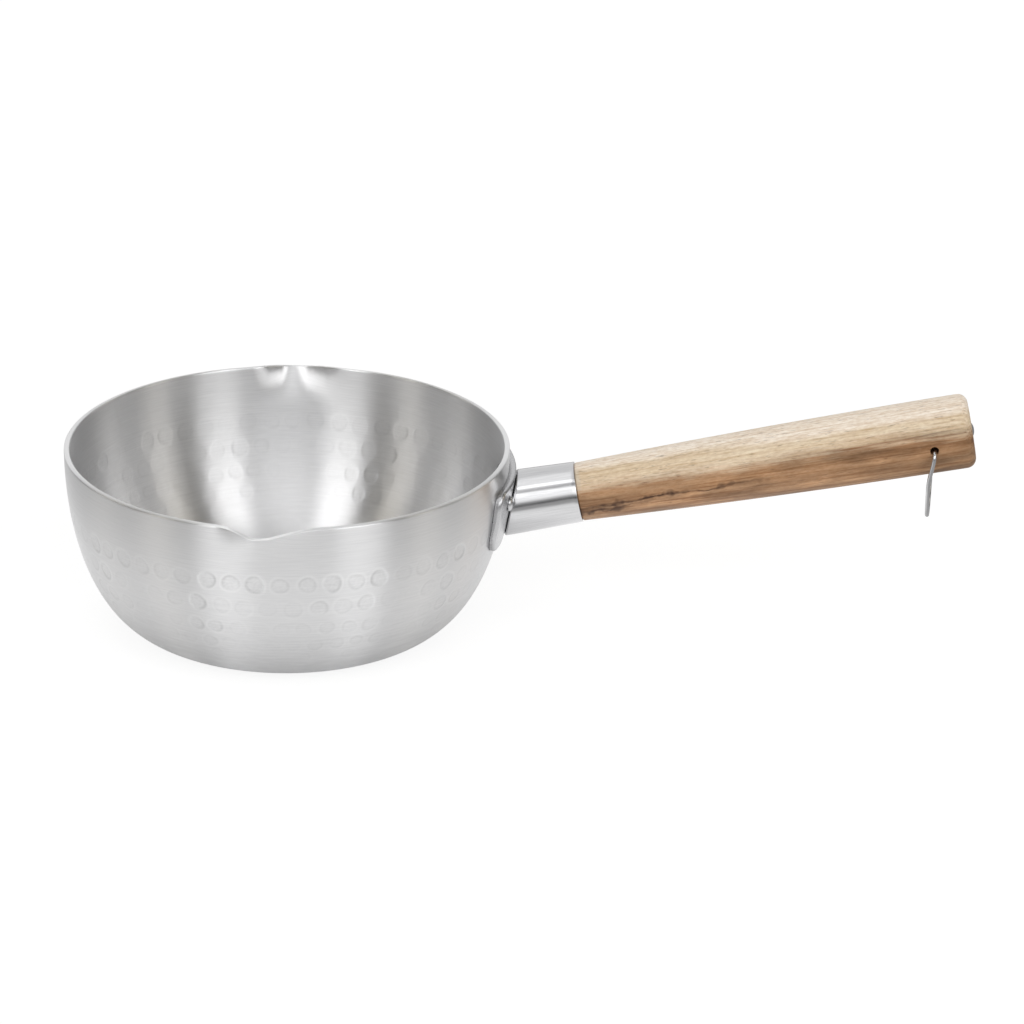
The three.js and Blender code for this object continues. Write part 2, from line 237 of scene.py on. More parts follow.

# The table's own colour, its brightness in view, and its brightness in reflections by metres from the middle
# of the pan. That brightness is kept low right under the pan, a painted shadow.
FLOOR_HALF_SIZE = 6
FLOOR_COLOUR = (0.22, 0.22, 0.22)
FLOOR_ROUGHNESS = 0.9
FLOOR_IN_VIEW = 0.85
FLOOR_GLOW = [
    (0.04, 0.14), (0.075, 0.36), (0.1, 0.66), (0.13, 0.92), (0.2, 0.88), (0.28, 0.32), (0.6, 0.25),
]

# The photograph's camera.
VIEW_ELEVATION = math.radians(22.725)
VIEW_AZIMUTH = math.radians(1)
VIEW_ROLL = math.radians(1.0)
VIEW_PLACE = Vector((93.3, -1535.7, 691.3)) * MM
VIEW_LENS = 140.625
VIEW_SENSOR = 36
VIEW_NEAR = 0.01
VIEW_FAR = 100


def mesh_object(name, points, faces, sharp=30):
    """A smooth-shaded mesh with edges sharper than an angle kept crisp."""
    mesh = bpy.data.meshes.new(name)
    mesh.from_pydata([tuple(p) for p in points], [], [tuple(f) for f in faces])
    mesh.validate()
    mesh.polygons.foreach_set("use_smooth", [True] * len(mesh.polygons))
    mesh.set_sharp_from_angle(angle=math.radians(sharp))
    piece = bpy.data.objects.new(name, mesh)
    bpy.context.scene.collection.objects.link(piece)
    return piece


def band_faces(rows, columns):
    """Quads between rows of points that each close on themselves."""
    faces = []
    for i in range(rows - 1):
        low = i * columns
        for j in range(columns):
            k = (j + 1) % columns
            faces.append((low + j, low + k, low + columns + k, low + columns + j))
    return faces


def turned(name, profile, columns, sharp=30):
    """Solid of revolution about X from (x, radius) pairs that start and end on the axis."""
    rows = profile[1:-1]
    points = []
    for x, r in rows:
        for j in range(columns):
            angle = 2 * math.pi * j / columns
            points.append((x, r * math.cos(angle), r * math.sin(angle)))
    faces = band_faces(len(rows), columns)
    start, end = len(points), len(points) + 1
    points += [(profile[0][0], 0, 0), (profile[-1][0], 0, 0)]
    last = (len(rows) - 1) * columns
    for j in range(columns):
        k = (j + 1) % columns
        faces.append((k, j, start))
        faces.append((last + j, last + k, end))
    return mesh_object(name, points, faces, sharp)


def arc(centre, radius, start, end, count):
    """Points on an arc in the profile plane, angles in degrees."""
    cx, cy = centre
    out = []
    for i in range(count + 1):
        angle = math.radians(start + (end - start) * i / count)
        out.append((cx + radius * math.cos(angle), cy + radius * math.sin(angle)))
    return out


# Bowl.


def wall_radius(height):
    """Outside radius of the bowl at a height, for a number or an array."""
    u = np.clip((BOWL_HEIGHT - height) / BOWL_HEIGHT, 0, 1)
    return BASE_RADIUS + (RIM_RADIUS - BASE_RADIUS) * (1 - u**BOWL_FULLNESS) ** (1 / BOWL_FULLNESS)


def wall_normal(height):
    """Outward direction of the wall in its profile plane: (radial, upward)."""
    step = 0.05 * MM
    slope = (wall_radius(height + step) - wall_radius(height - step)) / (2 * step)
    length = math.hypot(1, slope)
    return 1 / length, -slope / length


def side_curve():
    """Even points up the outside of the bowl: length so far, radius, height and outward normal."""
    u = np.linspace(0, math.pi / 2, CURVE_SAMPLES)
    power = 2 / BOWL_FULLNESS
    r = BASE_RADIUS + (RIM_RADIUS - BASE_RADIUS) * np.sin(u) ** power
    z = BOWL_HEIGHT * (1 - np.cos(u) ** power)
    keep = z < BOWL_HEIGHT - WALL / 2
    r, z = np.append(r[keep], RIM_RADIUS), np.append(z[keep], BOWL_HEIGHT - WALL / 2)
    along = np.concatenate([[0], np.cumsum(np.hypot(np.diff(r), np.diff(z)))])
    even = np.linspace(0, along[-1], int(along[-1] / BOWL_STEP))
    r, z = np.interp(even, along, r), np.interp(even, along, z)
    dr, dz = np.gradient(r), np.gradient(z)
    length = np.hypot(dr, dz)
    nr, nz = dz / length, -dr / length
    nr[0], nz[0] = 0, -1
    nr[-1], nz[-1] = 1, 0
    return even, r, z, nr, nz


def bell(value, width):
    return np.exp(-((value / width) ** 2))


def stronger(new, old):
    return np.where(np.abs(new) > np.abs(old), new, old)


def mark_grain(up, side, phases):
    """Rough grain in a mark, from -1 to 1."""
    first, second, third = phases
    rise = np.sin(up / GRAIN_UP[0] + first + GRAIN_WARP * np.sin(side / GRAIN_SIDE[0] + third))
    return rise * np.sin(side / GRAIN_SIDE[1] + second + GRAIN_WARP * np.sin(up / GRAIN_UP[1] + first))


def hammer_mark(up, side, reach, phases):
    """Depth of one mark as a share of its force, and the painted shading at its edge: painted shade above
    zero, painted highlight below.
    """
    first, second, third = phases
    way = np.arctan2(up, side)
    wobble = 1 + HAMMER_WOBBLES[0] * np.sin(2 * way + first) + HAMMER_WOBBLES[1] * np.sin(3 * way + second)
    out = np.hypot(up, side) * wobble
    edge = np.clip((reach - out) / HAMMER_EDGE, 0, 1)
    grain = mark_grain(up, side, phases)
    hollow = 1 - HAMMER_HOLLOW + HAMMER_HOLLOW * np.clip(1 - (out / reach) ** 2, 0, 1)
    hollow = hollow + HAMMER_GRAIN * grain
    lip = HAMMER_LIP * bell(out - reach - HAMMER_LIP_OUT, HAMMER_LIP_WIDTH)
    dent = edge * edge * (3 - 2 * edge) * hollow - lip
    dark = bell(out - reach + HAMMER_SHADE_IN, HAMMER_LINE)
    dark = dark * (HAMMER_SHADE[0] + HAMMER_SHADE[1] * np.sin(way + third))
    bright = bell(out - reach - HAMMER_HIGHLIGHT_OUT, HAMMER_LINE)
    bright = bright * (HAMMER_HIGHLIGHT[0] + HAMMER_HIGHLIGHT[1] * np.sin(way + first))
    return dent, dark + HAMMER_MOTTLE * grain * edge - bright


def hammer_marks(along, r, z, angles):
    """How deep the outside is struck and how much painted shade and painted highlight each mark's edge gets,
    on the grid of points of the side.
    """
    chance = random.Random(HAMMER_SEED)
    struck = np.zeros((len(along), len(angles)))
    lines = np.zeros_like(struck)
    for number, (below, count, size, depth, light) in enumerate(HAMMER_ROWS):
        middle = np.interp(BOWL_HEIGHT - below, z, along)
        pitch = 2 * math.pi / count
        for k in range(count):
            stray = chance.uniform(-HAMMER_STRAY, HAMMER_STRAY) * pitch
            centre = (k + 0.5 * (number % 2)) * pitch + stray + HAMMER_PHASE
            shift = chance.uniform(-HAMMER_SHIFT, HAMMER_SHIFT)
            reach = size * chance.uniform(*HAMMER_SIZES)
            force = depth * chance.uniform(light, HAMMER_HARDEST)
            if number:
                swell = math.cos(HAMMER_SWELLS * (centre - HAMMER_SWELL_FROM))
                force = force * (1 - HAMMER_SWELL + HAMMER_SWELL * swell)
            rows = np.where(np.abs(along - middle - shift) < reach + HAMMER_MARGIN)[0]
            turn = (angles - centre + math.pi) % (2 * math.pi) - math.pi
            columns = np.where(np.abs(turn) * r[rows].max() < reach + HAMMER_MARGIN)[0]
            up = (along[rows] - middle - shift)[:, None]
            side = turn[columns][None, :] * r[rows][:, None]
            phases = [chance.uniform(0, 2 * math.pi) for _ in range(3)]
            dent, line = hammer_mark(up, side, reach, phases)
            block = np.ix_(rows, columns)
            struck[block] = stronger(force * dent, struck[block])
            lines[block] = stronger(line * force / HAMMER_FULL, lines[block])
    return struck, lines


def lip_shape(share):
    """How far a lip is pulled at a share of its spread: straight between a round crest and a round foot."""
    left = np.clip(1 - share, 0, 1)
    rise = np.where(left < LIP_FOOT, left**2 / (2 * LIP_FOOT), left - LIP_FOOT / 2)
    lost = LIP_CREST / 2 * np.clip(1 - share / LIP_CREST, 0, 1) ** 2
    return (rise - lost) / (1 - LIP_FOOT / 2 - LIP_CREST / 2)


def pull_lips(x, y, z):
    """Pulls the two pouring lips outwards and a little down."""
    off = np.abs(np.degrees(np.arctan2(y, x))) - LIP_AZIMUTH
    share = np.where(off < 0, -off / LIP_SPREAD_NEAR, off / LIP_SPREAD_FAR)
    pull, drop, depth = (np.where(y > 0, back, front) for front, back in zip(FRONT_LIP, BACK_LIP))
    below = np.clip((BOWL_HEIGHT - z) / depth, 0, 1)
    across = lip_shape(share)
    down = (1 - below) ** 2
    grow = 1 + pull * across * down / np.hypot(x, y)
    return x * grow, y * grow, z - drop * across**LIP_DROP_POWER * down


def make_bowl():
    along, r, z, nr, nz = side_curve()
    angles = np.linspace(0, 2 * math.pi, BOWL_COLUMNS, endpoint=False)
    struck, lines = hammer_marks(along, r, z, angles)
    cos, sin = np.cos(angles)[None, :], np.sin(angles)[None, :]
    ones = np.ones_like(cos)

    def ring(radius, height, line=0):
        return radius * cos, radius * sin, height * ones, line * ones

    def skin(offset, dent, line):
        rr = (r + offset * nr)[:, None] - dent * nr[:, None]
        zz = (z + offset * nz)[:, None] - dent * nz[:, None]
        return rr * cos, rr * sin, zz * ones, line

    parts = [ring(BASE_RADIUS * share, 0) for share in BASE_RINGS]
    parts.append(skin(0, struck, lines))
    # The rings over the rim carry its painted highlight.
    for i in range(1, RIM_STEPS):
        angle = math.pi * i / RIM_STEPS
        flat = math.sin(angle) ** RIM_FLATNESS
        radius = RIM_RADIUS - WALL / 2 * (1 - math.cos(angle))
        worn = RIM_SLOPE * flat * (radius - RIM_RADIUS + WALL)
        parts.append(ring(radius, BOWL_HEIGHT - WALL / 2 * (1 - flat) - worn, RIM_HIGHLIGHT))
    inside = skin(-WALL, struck * HAMMER_THROUGH, lines * HAMMER_THROUGH)
    parts.append(tuple(grid[::-BOWL_INSIDE_EVERY] for grid in inside))
    parts += [ring(BASE_RADIUS * share, WALL) for share in reversed(BASE_RINGS)]
    x, y, h, line = (np.concatenate([part[i] for part in parts]) for i in range(4))
    x, y, h = pull_lips(x, y, h)
    points = np.stack([x.ravel(), y.ravel(), h.ravel()], 1)
    rows = len(x)
    faces = band_faces(rows, BOWL_COLUMNS)
    last = (rows - 1) * BOWL_COLUMNS
    faces.append(tuple(range(BOWL_COLUMNS - 1, -1, -1)))
    faces.append(tuple(range(last, last + BOWL_COLUMNS)))
    bowl = mesh_object("bowl_shell", points, faces, sharp=60)
    # Painted shade and painted highlight at the marks' edges and on the rim, for the bowl's material.
    bowl.data.attributes.new("mark_light_and_shade", "FLOAT", "POINT").data.foreach_set("value", line.ravel())
    return bowl


# Handle frame: its origin is on the outer face of the saddle and X runs along the handle.
ROOT_HEIGHT = BOWL_HEIGHT - HANDLE_BELOW_RIM
ROOT_RADIUS = float(wall_radius(ROOT_HEIGHT)) + GAP + SADDLE_THICKNESS
HANDLE = Matrix.Translation((ROOT_RADIUS, 0, ROOT_HEIGHT)) @ Matrix.Rotation(-HANDLE_TILT, 4, "Y")
BORE_RADIUS = FERRULE_RADIUS_AT_WOOD - FERRULE_WALL
GRIP_START = FERRULE_LENGTH + SEAM
GRIP_END = FERRULE_LENGTH + GAP + GRIP_LENGTH
RING_AT = GRIP_END - RING_FROM_END


def on_wall(y, z, offset):
    """Point off the outside of the bowl, above a place given by its Y and its height."""
    r = float(wall_radius(z))
    nr, nz = wall_normal(z)
    x = math.sqrt(r * r - y * y)
    return x + offset * nr * x / r, y + offset * nr * y / r, z + offset * nz


# Saddle.


def saddle_thickness(z):
    """Thickness of the plate at a height: it thins towards its lower edge."""
    share = min(1, max(0, (ROOT_HEIGHT + SADDLE_RISE - z) / (SADDLE_RISE + SADDLE_FALL)))
    return SADDLE_THICKNESS + (SADDLE_THICKNESS_LOW - SADDLE_THICKNESS) * share


def saddle_outline():
    """Outline of the saddle seen along the handle, anticlockwise in (y, z)."""
    w, c, d = SADDLE_HALF_WIDTH, SADDLE_CORNER, SADDLE_LOW_CORNER
    top, low = ROOT_HEIGHT + SADDLE_RISE, ROOT_HEIGHT - SADDLE_FALL
    points = arc((w - c, top - c), c, 0, 90, SADDLE_CORNER_STEPS)
    points += [(y, top) for y in np.linspace(w - c, c - w, SADDLE_TOP_STEPS)[1:-1]]
    points += arc((c - w, top - c), c, 90, 180, SADDLE_CORNER_STEPS)
    points += [(-w, z) for z in np.linspace(top - c, low + d, SADDLE_SIDE_STEPS)[1:-1]]
    points += arc((d - w, low + d), d, 180, 270, SADDLE_LOW_CORNER_STEPS)
    for y in np.linspace(d - w, w - d, SADDLE_BELLY_STEPS)[1:-1]:
        points.append((y, low - SADDLE_BELLY * (1 - (y / (w - d)) ** 2)))
    points += arc((w - d, low + d), d, 270, 360, SADDLE_LOW_CORNER_STEPS)
    points += [(w, z) for z in np.linspace(low + d, top - c, SADDLE_SIDE_STEPS)[1:-1]]
    return [Vector(p) for p in points]


def make_saddle():
    outline = saddle_outline()
    count = len(outline)
    inward = []
    for i in range(count):
        along = outline[(i + 1) % count] - outline[i - 1]
        inward.append(Vector((-along.y, along.x)).normalized())
    middle = Vector((0, ROOT_HEIGHT + (SADDLE_RISE - SADDLE_FALL) / 2))
    edge, back = SADDLE_EDGE, SADDLE_BACK_EDGE
    # Each ring of points: its share of the outline, how far inside it lies, and its offset. An offset above
    # zero is measured from the wall, and the others from the outer face.
    rings = [(SADDLE_BACK_RING, back, SEAM), (1, back, SEAM), (1, 0, SEAM + back)]
    for i in range(SADDLE_EDGE_STEPS + 1):
        angle = math.pi / 2 * i / SADDLE_EDGE_STEPS
        rings.append((1, edge * (1 - math.cos(angle)), -edge * (1 - math.sin(angle))))
    rings += [(share, edge, 0) for share in SADDLE_FACE_RINGS]
    points = []
    for share, inset, offset in rings:
        for p, n in zip(outline, inward):
            q = middle + (p + n * inset - middle) * share
            face = GAP + saddle_thickness(q.y)
            points.append(on_wall(q.x, q.y, offset if offset > 0 else face + offset))
    faces = band_faces(len(rings), count)
    faces.append(tuple(range(count - 1, -1, -1)))
    last = (len(rings) - 1) * count
    faces.append(tuple(range(last, last + count)))
    return mesh_object("saddle", points, faces, sharp=50)


# Rivets.


def make_rivet(name, side):
    height = ROOT_HEIGHT + RIVET_RISE
    inner, outer = -WALL - GAP, 2 * GAP + saddle_thickness(height)
    r, h, low = RIVET_HEAD_RADIUS, RIVET_HEAD_HEIGHT, RIVET_INNER_HEIGHT
    profile = [(inner - low, 0)]
    for a in np.linspace(RIVET_INNER_FLAT, math.pi / 2, RIVET_INNER_STEPS):
        profile.append((inner - low * math.cos(a), r * math.sin(a)))
    profile += [(inner, RIVET_SHANK_RADIUS), (outer, RIVET_SHANK_RADIUS)]
    for a in np.linspace(0, math.pi / 2 - RIVET_HEAD_FLAT, RIVET_HEAD_STEPS):
        profile.append((outer + h * math.sin(a), r * math.cos(a)))
    profile.append((outer + h, 0))
    rivet = turned(name, profile, SMALL_COLUMNS)
    around = side * math.radians(RIVET_AZIMUTH)
    nr, nz = wall_normal(height)
    out = Vector((nr * math.cos(around), nr * math.sin(around), nz))
    place = Vector((math.cos(around), math.sin(around), 0)) * float(wall_radius(height))
    place.z = height
    turn = Vector((1, 0, 0)).rotation_difference(out).to_matrix().to_4x4()
    rivet.matrix_world = Matrix.Translation(place) @ turn
    return rivet


# Ferrule.


def saddle_face(radius, angle):
    """Where a line along the handle meets the outer face of the saddle, plus the gap."""
    low, high, halvings = -15 * MM, 5 * MM, 40
    for _ in range(halvings):
        middle = (low + high) / 2
        p = HANDLE @ Vector((middle, radius * math.cos(angle), radius * math.sin(angle)))
        nr, _nz = wall_normal(p.z)
        away = (math.hypot(p.x, p.y) - float(wall_radius(p.z))) * nr
        if away < 2 * GAP + saddle_thickness(p.z):
            low = middle
        else:
            high = middle
    return high


def ferrule_radius(x):
    share = max(0, x / FERRULE_LENGTH)
    return FERRULE_RADIUS_AT_SADDLE + (FERRULE_RADIUS_AT_WOOD - FERRULE_RADIUS_AT_SADDLE) * share


def make_ferrule():
    rounding, lip = FERRULE_ROUNDING, FERRULE_LIP
    angles = [2 * math.pi * j / FERRULE_COLUMNS for j in range(FERRULE_COLUMNS)]
    starts = [saddle_face(FERRULE_RADIUS_AT_SADDLE - rounding, a) for a in angles]
    rows = [[(start, BORE_RADIUS) for start in starts]]
    for i in range(FERRULE_ROUNDING_STEPS + 1):
        d = rounding * (1 - math.cos(math.pi / 2 * i / FERRULE_ROUNDING_STEPS))
        drop = rounding - math.sqrt(max(0, rounding**2 - (rounding - d) ** 2))
        rows.append([(start + d, ferrule_radius(start + d) - drop) for start in starts])
    end = FERRULE_LENGTH - lip
    for share in np.linspace(0, 1, FERRULE_ROWS)[1:]:
        places = [start + rounding + (end - start - rounding) * share for start in starts]
        rows.append([(x, ferrule_radius(x)) for x in places])
    for angle in FERRULE_LIP_ANGLES:
        x = FERRULE_LENGTH - lip * (1 - math.sin(angle))
        rows.append([(x, FERRULE_RADIUS_AT_WOOD - lip * (1 - math.cos(angle)))] * FERRULE_COLUMNS)
    rows.append([(FERRULE_LENGTH, BORE_RADIUS)] * FERRULE_COLUMNS)
    points = []
    for row in rows:
        for (x, r), a in zip(row, angles):
            points.append((x, r * math.cos(a), r * math.sin(a)))
    faces = band_faces(len(rows), FERRULE_COLUMNS)
    last = (len(rows) - 1) * FERRULE_COLUMNS
    for j in range(FERRULE_COLUMNS):
        k = (j + 1) % FERRULE_COLUMNS
        faces.append((last + j, last + k, k, j))
    ferrule = mesh_object("ferrule_tube", points, [tuple(reversed(f)) for f in faces], sharp=40)
    ferrule.matrix_world = HANDLE
    return ferrule


# Wooden grip.


def grip_radius(share):
    rise = GRIP_RADIUS_END - GRIP_RADIUS_AT_FERRULE
    bend = 2 * (2 * (GRIP_RADIUS_MIDDLE - GRIP_RADIUS_AT_FERRULE) - rise)
    return GRIP_RADIUS_AT_FERRULE + rise * share + bend * share * (1 - share)


RADIUS_AT_RING = grip_radius(1 - RING_FROM_END / GRIP_LENGTH)


def cut(piece, cutters, sharp):
    """Takes cutters away from a piece and deletes them."""
    for cutter in cutters:
        modifier = piece.modifiers.new("cut", "BOOLEAN")
        modifier.operation = "DIFFERENCE"
        modifier.solver = "EXACT"
        modifier.object = cutter
    bpy.context.view_layer.update()
    made = bpy.data.meshes.new_from_object(piece.evaluated_get(bpy.context.evaluated_depsgraph_get()))
    piece.modifiers.clear()
    piece.data = made
    made.polygons.foreach_set("use_smooth", [True] * len(made.polygons))
    made.set_sharp_from_angle(angle=math.radians(sharp))
    for cutter in cutters:
        bpy.data.objects.remove(cutter)


def grip_cutters():
    """Two blind holes for the ring, and the stepped bore for the bolt."""
    cutters = []
    start, end, r = RADIUS_AT_RING - RING_HOLE_DEPTH, RADIUS_AT_RING + HOLE_PAST, RING_HOLE_RADIUS
    middle = Matrix.Translation((RING_AT, 0, -RING_BELOW_AXIS))
    for side in (1, -1):
        hole = turned("ring_hole", [(start, 0), (start, r), (end, r), (end, 0)], HOLE_COLUMNS)
        hole.matrix_world = middle @ Matrix.Rotation(side * math.pi / 2, 4, "Z")
        cutters.append(hole)
    sink, past = GRIP_END - BOLT_HEAD_SUNK, GRIP_END + BORE_PAST
    bore, r = BOLT_RADIUS + GAP, BOLT_HEAD_RADIUS + GAP
    profile = [(0, 0), (0, bore), (sink, bore), (sink, r), (past, r), (past, 0)]
    cutters.append(turned("bolt_bore", profile, SMALL_COLUMNS))
    return cutters


def make_grip():
    sharp = 35
    tenon, tenon_radius = BOSS_LENGTH + GAP, BORE_RADIUS - GAP
    profile = [(tenon, 0), (tenon, tenon_radius), (GRIP_START, tenon_radius)]
    profile += [(GRIP_START, GRIP_RADIUS_AT_FERRULE - GRIP_CHAMFER)]
    straight = 1 - GRIP_END_ROUNDING / GRIP_LENGTH
    for share in np.linspace(GRIP_CHAMFER / GRIP_LENGTH, straight, GRIP_ROWS):
        profile.append((GRIP_START + share * GRIP_LENGTH, grip_radius(share)))
    centre = (GRIP_END - GRIP_END_ROUNDING, grip_radius(straight) - GRIP_END_ROUNDING)
    profile += arc(centre, GRIP_END_ROUNDING, 90, 0, GRIP_END_STEPS)[1:]
    profile += [(GRIP_END, share * centre[1]) for share in GRIP_END_RINGS]
    profile += [(GRIP_END, 0)]
    grip = turned("wooden_grip", profile, GRIP_COLUMNS, sharp)
    cut(grip, grip_cutters(), sharp)
    grip.matrix_world = HANDLE
    return grip


def make_bolt():
    start, seat = BOSS_LENGTH - BOLT_GRIP + GAP, GRIP_END - BOLT_HEAD_SUNK + GAP
    head, r = seat + BOLT_HEAD_HEIGHT, BOLT_HEAD_RADIUS
    profile = [(start, 0), (start, BOLT_RADIUS), (seat, BOLT_RADIUS), (seat, r)]
    for angle in np.linspace(0, math.pi / 2 - BOLT_FLAT, BOLT_DOME_STEPS):
        profile.append((head - BOLT_DOME * (1 - math.sin(angle)), r * math.cos(angle)))
    profile.append((head, 0))
    bolt = turned("tie_bolt_shank", profile, SMALL_COLUMNS)
    bolt.matrix_world = HANDLE
    return bolt


# Hanging ring.


def ring_path():
    half = RADIUS_AT_RING + RING_SIDE_CLEARANCE + RING_WIRE_RADIUS
    end = RADIUS_AT_RING - RING_HOLE_DEPTH + 2 * GAP
    low = -(RING_DROP - half)
    side = [(y, 0) for y in np.linspace(end, half - RING_BEND, RING_END_STEPS)]
    side += arc((half - RING_BEND, -RING_BEND), RING_BEND, 90, 0, RING_BEND_STEPS)[1:]
    side += [(half, z) for z in np.linspace(-RING_BEND, low, RING_SIDE_STEPS)[1:]]
    bottom = arc((0, low), half, 0, -180, RING_BOTTOM_STEPS)[1:-1]
    path = side + bottom + [(-y, z) for y, z in reversed(side)]
    points = []
    for y, z in path:
        share = min(1, max(0, -z / RING_SKEW_DEPTH))
        points.append(Vector((y * math.tan(RING_SKEW) * share * share * (3 - 2 * share), y, z)))
    return points


def make_ring():
    path = ring_path()
    points = []
    for i, middle in enumerate(path):
        along = (path[min(i + 1, len(path) - 1)] - path[max(i - 1, 0)]).normalized()
        side = (Vector((1, 0, 0)) - along * along.x).normalized()
        out = side.cross(along)
        for j in range(RING_COLUMNS):
            angle = 2 * math.pi * j / RING_COLUMNS
            points.append(middle + (side * math.sin(angle) + out * math.cos(angle)) * RING_WIRE_RADIUS)
    faces = [tuple(reversed(f)) for f in band_faces(len(path), RING_COLUMNS)]
    faces.append(tuple(range(RING_COLUMNS)))
    last = (len(path) - 1) * RING_COLUMNS
    faces.append(tuple(range(last + RING_COLUMNS - 1, last - 1, -1)))
    ring = mesh_object("ring_wire", points, faces, sharp=40)
    place = HANDLE @ Vector((RING_AT, 0, -RING_BELOW_AXIS))
    place.z -= RING_HANG
    ring.matrix_world = Matrix.Translation(place)
    return ring


# Materials.


class Nodes:
    """Shorthand for a node tree."""

    def __init__(self, owner):
        owner.use_nodes = True
        self.owner = owner
        self.tree = owner.node_tree
        self.shader = self.tree.nodes.get("Principled BSDF")

    def add(self, kind, **settings):
        node = self.tree.nodes.new(kind)
        for key, value in settings.items():
            setattr(node, key, value)
        return node

    def link(self, output, socket):
        self.tree.links.new(output, socket)

    def feed(self, socket, value):
        """Sets a socket to a number or a colour, or links it to an output."""
        if isinstance(value, tuple):
            socket.default_value = (*value, 1)
        elif isinstance(value, (int, float)):
            socket.default_value = value
        else:
            self.link(value, socket)

    def math(self, operation, *values):
        node = self.add("ShaderNodeMath", operation=operation)
        for socket, value in zip(node.inputs, values):
            self.feed(socket, value)
        return node.outputs[0]

    def plus(self, a, b):
        return self.math("ADD", a, b)

    def minus(self, a, b):
        return self.math("SUBTRACT", a, b)

    def times(self, a, b):
        return self.math("MULTIPLY", a, b)

    def distance(self, x, y):
        return self.math("SQRT", self.plus(self.times(x, x), self.times(y, y)))

    def noise(self, vector, detail, rough, scale=1.0):
        node = self.add("ShaderNodeTexNoise")
        for key, number in (("Scale", scale), ("Detail", detail), ("Roughness", rough)):
            node.inputs[key].default_value = number
        self.link(vector, node.inputs["Vector"])
        return node.outputs["Fac"]

    def ramp(self, value, stops):
        node = self.add("ShaderNodeValToRGB")
        elements = node.color_ramp.elements
        while len(elements) < len(stops):
            elements.new(0.5)
        for element, (at, colour) in zip(elements, stops):
            element.position = at
            element.color = (*colour, 1)
        self.link(value, node.inputs["Fac"])
        return node.outputs["Color"]

    def levels(self, value, stops):
        """A ramp of greys."""
        return self.ramp(value, [(at, (level,) * 3) for at, level in stops])

    def span(self, value, low, high, start=0.0, end=1.0):
        """Runs from low to high, and no further, while a value runs from start to end."""
        node = self.add("ShaderNodeMapRange")
        for key, number in zip(("From Min", "From Max", "To Min", "To Max"), (start, end, low, high)):
            node.inputs[key].default_value = number
        self.link(value, node.inputs["Value"])
        return node.outputs["Result"]

    def joined(self, *values):
        node = self.add("ShaderNodeCombineXYZ")
        for socket, value in zip(node.inputs, values):
            self.feed(socket, value)
        return node.outputs[0]

    def mixed(self, factor, a, b, blend="MIX"):
        node = self.add("ShaderNodeMix", data_type="RGBA", blend_type=blend)
        for key, value in (("Factor", factor), ("A", a), ("B", b)):
            self.feed(node.inputs[key], value)
        return node.outputs["Result"]

    def split(self, vector):
        node = self.add("ShaderNodeSeparateXYZ")
        self.link(vector, node.inputs[0])
        return node.outputs

    def place(self):
        coords = self.add("ShaderNodeTexCoord").outputs["Object"]
        return coords, self.split(coords)

    def bump(self, height, strength, distance):
        node = self.add("ShaderNodeBump")
        node.inputs["Strength"].default_value = strength
        node.inputs["Distance"].default_value = distance
        self.link(height, node.inputs["Height"])
        self.link(node.outputs[0], self.shader.inputs["Normal"])


# Brush lines: the radius of their turn round the bowl in the noise, how often they change in a metre along
# the ferrule and across themselves, and the detail and roughness of the noise.
BRUSH_ROUND = 6
BRUSH_ALONG = 40
BRUSH_ACROSS = 2600
BRUSH_NOISE = (3.0, 0.65)
BRUSH_SPAN = (0.25, 0.75)
BRUSH_BUMP = 0.04 * MM
BRUSH_TURN = 0.25
# Painted shade and painted highlight on the bowl, at its hammer marks and rim: the colour of each, and the
# most of the highlight that is mixed in.
MARK_SHADE = (0.3, 0.3, 0.3)
MARK_HIGHLIGHT = (0.97, 0.97, 0.97)
MARK_HIGHLIGHT_SHARE = 0.4


def brushed_metal(name, colours, rough, brushed, around, stretch=0.0, mark_shade=0.0):
    """Metal with fine brush lines, round Z for the bowl or along X for the ferrule, and for the bowl with
    painted shade and painted highlights at its hammer marks and rim.
    """
    m = Nodes(bpy.data.materials.new(name))
    _coords, (x, y, z) = m.place()
    if around:
        turn = m.math("ARCTAN2", y, x)
        up = m.times(m.minus(z, m.distance(x, y)), BRUSH_ACROSS)
        sine, cosine = (m.times(m.math(wave, turn), BRUSH_ROUND) for wave in ("SINE", "COSINE"))
        fine = m.joined(sine, cosine, up)
    else:
        fine = m.joined(m.times(x, BRUSH_ALONG), m.times(y, BRUSH_ACROSS), m.times(z, BRUSH_ACROSS))
    lines = m.noise(fine, *BRUSH_NOISE)
    colour = m.ramp(lines, list(zip(BRUSH_SPAN, colours)))
    # Painted shade and painted highlight, read from the mesh.
    if mark_shade:
        edge = m.add("ShaderNodeAttribute", attribute_name="mark_light_and_shade").outputs["Fac"]
        colour = m.mixed(m.span(edge, 0.0, mark_shade), colour, MARK_SHADE)
        colour = m.mixed(m.span(edge, MARK_HIGHLIGHT_SHARE, 0.0, -1.0, 0.0), colour, MARK_HIGHLIGHT)
    m.link(colour, m.shader.inputs["Base Color"])
    m.link(m.span(lines, *rough, *BRUSH_SPAN), m.shader.inputs["Roughness"])
    m.shader.inputs["Metallic"].default_value = 1.0
    if stretch:
        m.shader.inputs["Anisotropic"].default_value = stretch
        tangent = m.add("ShaderNodeTangent", direction_type="RADIAL", axis="Z")
        m.link(tangent.outputs[0], m.shader.inputs["Tangent"])
        m.shader.inputs["Anisotropic Rotation"].default_value = BRUSH_TURN
    m.bump(lines, brushed, BRUSH_BUMP)
    return m.owner


# Clouds of uneven gloss on plain metal: detail, roughness and changes per metre of the noise.
CLOUD_NOISE = (3.0, 0.55, 150.0)
CLOUD_SPAN = (0.3, 0.7)
CLOUD_BUMP = 0.1 * MM
CLOUD_BUMP_STRENGTH = 0.03


